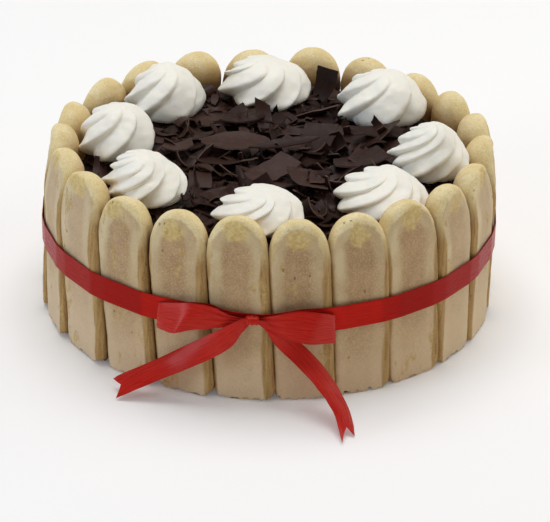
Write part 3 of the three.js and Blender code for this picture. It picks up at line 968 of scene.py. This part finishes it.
def chocolateFinish(name, base, gapShade=0.0):
    f = Finish(name, 0.42, Specular_IOR_Level=0.14)
    colors = chocolateColors
    tone = f.attribute("tone", "Fac")
    along = f.attribute("flakePlace")
    scrape = f.noise(1.6 * mm, 3, 0.6, along, (0.1, 1.0, 1.0))
    dustAndSheen = f.noise(4 * mm, 4, 0.65)
    color = f.blend(tone, *colors[base])
    color = f.blend(f.band(scrape, 0.5, 0.75, (0.0, 0.22)), color, colors["scraped"])
    # painted sheen: greyish on the lighter shavings, where they would catch the light
    greySheen = f.times(f.band(dustAndSheen, 0.45, 0.72), f.band(tone, 0.5, 0.95), 0.28)
    color = f.blend(greySheen, color, colors["greySheen"])
    # painted shade: the bed darkened towards near black, for the shadow in the gaps under the shavings
    color = f.blend(gapShade, color, colors["deep"])
    rough = f.band(dustAndSheen, 0.3, 0.7, (0.36, 0.55))
    return f.wear(color, rough, f.bump(scrape, 0.08 * mm, 0.6, f.bump(dustAndSheen, 0.3 * mm, 0.5)))


def makeChocolate():
    core = makeBed()
    # the bed gets painted shade for the gaps under the shavings
    dress(core, chocolateFinish("gapShadedBed", "bed", 0.75), "chocolate", "chocolate_shavings")
    # the rims get the lighter finish: broken chocolate, partly a painted highlight where the cut edges catch
    # the light
    finishes = (chocolateFinish("shavedChocolate", "shaved"), chocolateFinish("brokenEdgeWithGlint", "brokenEdgeAndGlint"))
    variants = flake["variants"]
    masters = {kind: [makeFlake(kind, seed, finishes) for seed in variants] for kind in flake["kinds"]}
    nets = heapFlakes(masters, rosetteSpots())
    for group in masters.values():
        for master in group:
            discard(master)
    for name, kinds in flake["pieces"].items():
        heap = joined([net for kind in kinds for net in nets[kind]], name)
        smooth(heap, 35)
        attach(heap, body)
    print("shavings heaped:", sum(len(group) for group in nets.values()))


makeChocolate()


# Satin ribbon

ribbon = {
    "width": 12.7 * mm,
    "thick": 0.3 * mm,
    "across": 16,
    "knotTurn": -93.8,
    "knotHeight": 46.3 * mm,
    "ripple": (7 * mm, 0.6, 0.45 * mm),  # size along the ribbon, how fine across as a share of that, height
    "threads": 0.35 * mm,
    "selvedge": (0.7 * mm, 0.35 * mm),
    # how much it shines, its two colors, how much darker it is where it turns away from the view, which is
    # painted shade
    # painted light: the band and the bow are one satin with different colors, for how light falls on each
    "flatSatin": (0.07, ((194, 29, 20), (206, 37, 27)), 1.0),
    "foldedSatin": (0.3, ((178, 23, 15), (194, 33, 23)), 0.1),
    "turnedAwayShade": (158, 20, 14),
    "selvedgeColor": (152, 18, 13),
    "glint": (1.0, 0.6, 0.5, 1.0),
}


def strip(node, along, length, place):
    # a ribbon laid so that place(share of the length, share of the width) gives its points
    bpy.ops.mesh.primitive_grid_add(x_subdivisions=along, y_subdivisions=ribbon["across"], size=1)
    piece = added(node + "_satin")
    weave = piece.data.uv_layers.active
    weave.name = "weave"
    for corner in weave.data:
        corner.uv = (corner.uv.x * length, corner.uv.y * ribbon["width"])
    for vertex in piece.data.vertices:
        vertex.co = place(vertex.co.x + 0.5, vertex.co.y + 0.5)
    cloth = piece.modifiers.new("cloth", "SOLIDIFY")
    cloth.thickness = ribbon["thick"]
    cloth.offset = 0
    applyModifiers(piece)
    faceOut(piece)
    smooth(piece, 60)
    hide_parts(node)
    return piece


def onRing(turn, radius, z):
    return Vector((radius * cos(radians(turn)), radius * sin(radians(turn)), z))


def ease(value, low, high):
    share = min(max((value - low) / (high - low), 0), 1)
    return share * share * (3 - 2 * share)


def mix(a, b, share):
    return a + (b - a) * share


def ripple(share, across, length):
    size, fine, height = ribbon["ripple"]
    spot = Vector((share * length / size, across * ribbon["width"] / size * fine, length / mm))
    return height * noise.noise(spot)


def onCurve(points, share):
    # a smooth curve through the points
    at = min(share * (len(points) - 1), len(points) - 1 - 1e-6)
    k = int(at)
    t = at - k
    a, b = Vector(points[k]), Vector(points[k + 1])
    before = Vector(points[k - 1]) if k > 0 else 2 * a - b
    after = Vector(points[k + 2]) if k + 2 < len(points) else 2 * b - a
    pull = (b - before) * 0.5, (after - a) * 0.5
    curve = a * (2 * t**3 - 3 * t**2 + 1) + b * (3 * t**2 - 2 * t**3)
    return (curve + pull[0] * (t**3 - 2 * t**2 + t) + pull[1] * (t**3 - t**2)) * mm


band = {
    "middle": 42.9 * mm,
    "wave": 1 * mm,
    "waveTurn": -75,
    "gatherFrom": 1.2,
    "gatherTo": 13.0,
    "gathered": 2 * mm,  # half its width at the knot
    "pleats": 2.5,
    "pleatDepth": 1.3 * mm,
    "lift": 0.6 * mm,
    "radius": 115.2 * mm,
    "lookFrom": 100,  # mm from the middle of the cake
    "steps": 540,
}


def bandRadius(turn, z):
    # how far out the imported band's inner face is
    out = onRing(turn, 1, 0)
    start = Vector((0, 0, z)) + out * band["lookFrom"] * mm
    hit, place, _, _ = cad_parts["ribbon_band"].ray_cast(start, out)
    return hypot(place.x, place.y) if hit else band["radius"]


def bandPlace(share, across):
    s = band
    turn = ribbon["knotTurn"] + 360 * share
    away = min(share, 1 - share) * 360
    opened = ease(away, s["gatherFrom"], s["gatherTo"])
    wave = s["wave"] * cos(radians(turn - s["waveTurn"]))
    z = mix(ribbon["knotHeight"], s["middle"] + wave, opened)
    half = mix(s["gathered"], ribbon["width"] / 2, opened)
    side = 2 * across - 1
    folds = 0.5 - 0.5 * cos(s["pleats"] * 2 * pi * side)
    radius = bandRadius(turn, z) + s["lift"] + s["pleatDepth"] * folds * (1 - opened)
    return onRing(turn, radius, z + side * half)


# a loop: turns at the knot and the fold; from one to the other the heights of its upper and lower edge in
# mm; how far these stand out at the crease
loops = {
    "ribbon_loop_left": {
        "turns": (-94.6, -116.9),
        "upper": (45.9, 47.9, 51.8, 52.0, 49.8, 47.2),
        "lower": (44.7, 42.4, 40.8, 39.2, 36.3, 34.6),
        "inner": 116.0 * mm,
        "swell": (6.6 * mm, 2.6 * mm),
        "peak": 0.65,
        "slant": -0.1,
        "opening": 13.0,
    },
    "ribbon_loop_right": {
        "turns": (-93.0, -74.5),
        "upper": (46.4, 48.6, 50.6, 51.4, 50.2, 46.6),
        "lower": (44.6, 39.9, 37.6, 36.5, 34.6, 32.8),
        "inner": 116.1 * mm,
        "swell": (7.2 * mm, 3.4 * mm),
        "peak": 0.7,
        "slant": 0.08,
        "opening": 8.5,
    },
}

loopShape = {
    "start": 1.0 * mm,  # depth beside the knot
    "fold": 1.2 * mm,
    "corner": 8.0,  # how sharp the crease at its deepest is
    "stand": 2.0 * mm,  # how far the lower edge stands out at the fold
    "tuck": 1.2,  # how much lower, in mm, the upper edge of the inner layer is
    "points": 40,  # of the plan: as many out to the fold and back, and fewer round it
    "bend": 10,
    "crown": 0.4 * mm,
    "pleats": 1.5,
    "pleatDepth": 0.8 * mm,
    "steps": 120,
}


def bulge(way, peak):
    # 0 at the knot and at the fold, 1 at the peak between them
    up = max(way / peak, 1e-3)
    down = max((1 - way) / (1 - peak), 1e-3)
    sharp = loopShape["corner"]
    return (up**-sharp + down**-sharp) ** (-1 / sharp) * 2 ** (1 / sharp)


def loopPath(s):
    # a loop from above, round the fold and back: share of the way to the fold, depth, is it outer
    reach = radians(abs(s["turns"][1] - s["turns"][0])) * s["inner"]
    fold = loopShape["fold"] / 2
    points, bend = loopShape["points"], loopShape["bend"]
    plan = [(t / points, 0.0, 0.0) for t in range(points - 1)]
    for k in range(1, bend):
        angle = -pi / 2 + pi * k / bend
        plan.append((1 - fold / reach * (1 - cos(angle)), fold * (1 + sin(angle)), k / bend))
    for t in range(points - 2, -1, -1):
        share = t / points
        edge = mix(loopShape["start"], loopShape["fold"], share)
        plan.append((share, edge + sum(s["swell"]) / 2 * bulge(share, s["peak"]), 1.0))
    return plan, reach


def resampled(plan, reach, steps):
    lengths = [0.0]
    for a, b in zip(plan, plan[1:]):
        lengths.append(lengths[-1] + hypot((b[0] - a[0]) * reach, b[1] - a[1]))
    points = []
    k = 0
    for number in range(steps + 1):
        at = lengths[-1] * number / steps
        while k < len(plan) - 2 and lengths[k + 1] < at:
            k += 1
        share = (at - lengths[k]) / (lengths[k + 1] - lengths[k])
        points.append([mix(a, b, share) for a, b in zip(plan[k], plan[k + 1])])
    return points, lengths[-1]


def makeLoop(name):
    s = loops[name]
    shape = loopShape
    steps = shape["steps"]
    plan, reach = loopPath(s)
    points, length = resampled(plan, reach, steps)
    span = abs(s["turns"][1] - s["turns"][0])

    def place(share, across):
        way, depth, outer = points[round(share * steps)]
        side = 2 * across - 1
        opened = ease(way * span, 0, s["opening"])
        folds = (0.5 - 0.5 * cos(shape["pleats"] * 2 * pi * side)) * (1 - opened)
        swell = bulge(way, s["peak"] + s["slant"] * side) * mix(*s["swell"], across)
        swell -= bulge(way, s["peak"]) * sum(s["swell"]) / 2
        crown = shape["crown"] * (1 - side * side) * opened
        loose = (swell + crown + shape["pleatDepth"] * folds + ripple(share, across, length)) * outer
        radius = s["inner"] + depth + loose + shape["stand"] * way**3 * (1 - across)
        upper, lower = (onCurve([(z, 0, 0) for z in s[key]], way).x for key in ("upper", "lower"))
        upper -= shape["tuck"] * mm * (1 - outer) * opened
        return onRing(mix(*s["turns"], way), radius, mix(lower, upper, across))

    return strip(name, steps, length, place)


tails = {
    "ribbon_tail_left": {
        "upper": (
            (-9.0, -119.6, 47.1), (-12.0, -120.7, 48.1), (-15.5, -121.1, 46.8), (-23.5, -119.0, 41.0),
            (-35.5, -114.4, 31.9), (-53.7, -108.6, 18.3), (-69.2, -105.5, 8.8), (-75.1, -104.8, 5.0),
        ),
        "lower": (
            (-9.2, -119.6, 44.7), (-10.8, -120.6, 42.8), (-13.3, -121.0, 39.9), (-17.7, -122.2, 33.6),
            (-28.6, -120.5, 25.2), (-50.1, -117.6, 12.9), (-63.7, -117.0, 5.9), (-72.9, -116.6, 0.9),
        ),
        "length": 81 * mm,
    },
    "ribbon_tail_right": {
        "upper": (
            (-5.2, -119.7, 47.0), (2.4, -118.1, 44.1), (11.4, -117.4, 37.4), (24.5, -118.9, 24.4),
            (34.8, -125.9, 11.9), (40.0, -135.5, 3.6), (41.2, -147.0, 1.0),
        ),
        "lower": (
            (-5.7, -119.7, 45.7), (-1.4, -119.0, 40.7), (3.7, -118.7, 32.3), (14.1, -124.4, 24.5),
            (24.1, -132.0, 16.5), (31.0, -139.1, 9.0), (35.3, -153.8, 0.9),
        ),
        "length": 76 * mm,
    },
}

tailShape = {
    "steps": 90,
    "crown": 0.7 * mm,
    "notch": (6 * mm, 0.6),  # depth of the cut at its end, and from which share of the tail it shows
    "loose": (0.03, 0.3),  # it is held tight before this share of the tail, and free after that one
}


def makeTail(name):
    s = tails[name]
    shape = tailShape

    def place(share, across):
        side = 2 * across - 1
        depth, start = shape["notch"]
        share -= depth / s["length"] * (1 - abs(side)) * ease(share, start, 1.0)
        upper, lower = onCurve(s["upper"], share), onCurve(s["lower"], share)
        ahead = onCurve(s["upper"], min(share + 0.01, 1)) - onCurve(s["upper"], share - 0.01)
        normal = (upper - lower).cross(ahead).normalized()
        if normal.y > 0:
            normal = -normal
        loose = shape["crown"] * (1 - side * side) + ripple(share, across, s["length"])
        return lower.lerp(upper, across) + normal * loose * ease(share, *shape["loose"])

    return strip(name, shape["steps"], s["length"], place)


knot = {
    "middle": 119.3 * mm,
    "half": (3.1 * mm, 2.3 * mm, 2.0 * mm),  # along the ribbon, outward and upward
    "steps": 64,
    "barrel": 0.14,
    "start": 0.75,  # where its wrapped end lies, in half turns, and how much thicker the wrap grows
    "grow": 0.06,
    "rolled": 0.45 * mm,  # radius of its edges, which are turned in
    "pleatDepth": 0.22 * mm,
    "overlap": 0.12,  # share of a turn that the wrapped ribbon laps over itself
}


def rolledIn(at):
    # a place on the knot's section, its two edges turned in: along the ribbon, and how far in
    s = knot
    radius = s["rolled"]
    flat = s["half"][0] - radius
    past = abs(at) - flat
    sign = 1 if at > 0 else -1
    if past <= 0:
        return at, 0.0
    if past < pi * radius:
        angle = past / radius
        return sign * (flat + radius * sin(angle)), radius * (1 - cos(angle))
    return sign * (flat - (past - pi * radius)), 2 * radius


def makeKnot():
    s = knot

    def place(share, across):
        along, inward = rolledIn((across - 0.5) * ribbon["width"])
        around = 2 * pi * (1 + s["overlap"]) * share + pi * s["start"]
        side = along / s["half"][0]
        size = 1 - s["barrel"] * side * side + s["grow"] * share
        pleat = s["pleatDepth"] * cos(3 * pi * side + 0.8 * sin(around)) * (inward == 0)
        out = (s["half"][1] * size + pleat - inward) * cos(around)
        up = (s["half"][2] * size + pleat - inward) * sin(around)
        spot = onRing(ribbon["knotTurn"], s["middle"] + out, ribbon["knotHeight"] + up)
        return spot + onRing(ribbon["knotTurn"] + 90, 1, 0) * along

    around = 2 * pi * (1 + s["overlap"]) * (s["half"][1] + s["half"][2]) / 2
    return strip("ribbon_knot", s["steps"], around, place)


def satinFinish(name):
    shine, bright, shaded = ribbon[name]
    f = Finish(name, 0.36, Specular_IOR_Level=shine, Anisotropic=0.5, Specular_Tint=ribbon["glint"])
    weave = f.node("ShaderNodeUVMap", uv_map="weave").outputs[0]
    threads = f.node("ShaderNodeTexWave", wave_type="BANDS", bands_direction="Y")
    f.fill(threads, Scale=1 / (6.3 * ribbon["threads"]), Vector=weave)
    long = f.noise(0.5 * mm, 2, 0.5, weave, (0.06, 1, 1))
    _, y, _ = f.split(weave)
    edge = f.math("ABSOLUTE", f.math("SUBTRACT", y, ribbon["width"] / 2))
    selvedge = f.band(edge, *(ribbon["width"] / 2 - inside for inside in ribbon["selvedge"]))
    color = f.blend(f.band(long, 0.35, 0.65), *bright)
    turned = f.node("ShaderNodeLayerWeight").outputs["Facing"]
    # painted shade: darker where the ribbon turns away from the view
    color = f.blend(f.times(f.band(turned, 0.15, 0.33), shaded), color, ribbon["turnedAwayShade"])
    color = f.blend(f.times(selvedge, 0.4), color, ribbon["selvedgeColor"])
    fine = f.bump(threads.outputs["Fac"], 0.04 * mm, 0.5)
    return f.wear(color, f.band(long, 0.3, 0.7, (0.24, 0.34)), f.bump(long, 0.05 * mm, 0.35, fine))


def makeRibbon():
    flat, folded = satinFinish("flatSatin"), satinFinish("foldedSatin")
    girth = 2 * pi * band["radius"]
    hoop = strip("ribbon_band", band["steps"], girth, bandPlace)
    pieces = [hoop, makeKnot(), *(makeLoop(name) for name in loops), *(makeTail(name) for name in tails)]
    for piece in pieces:
        dress(piece, flat if piece is hoop else folded, "ribbon")
    print("ribbon tied")


makeRibbon()
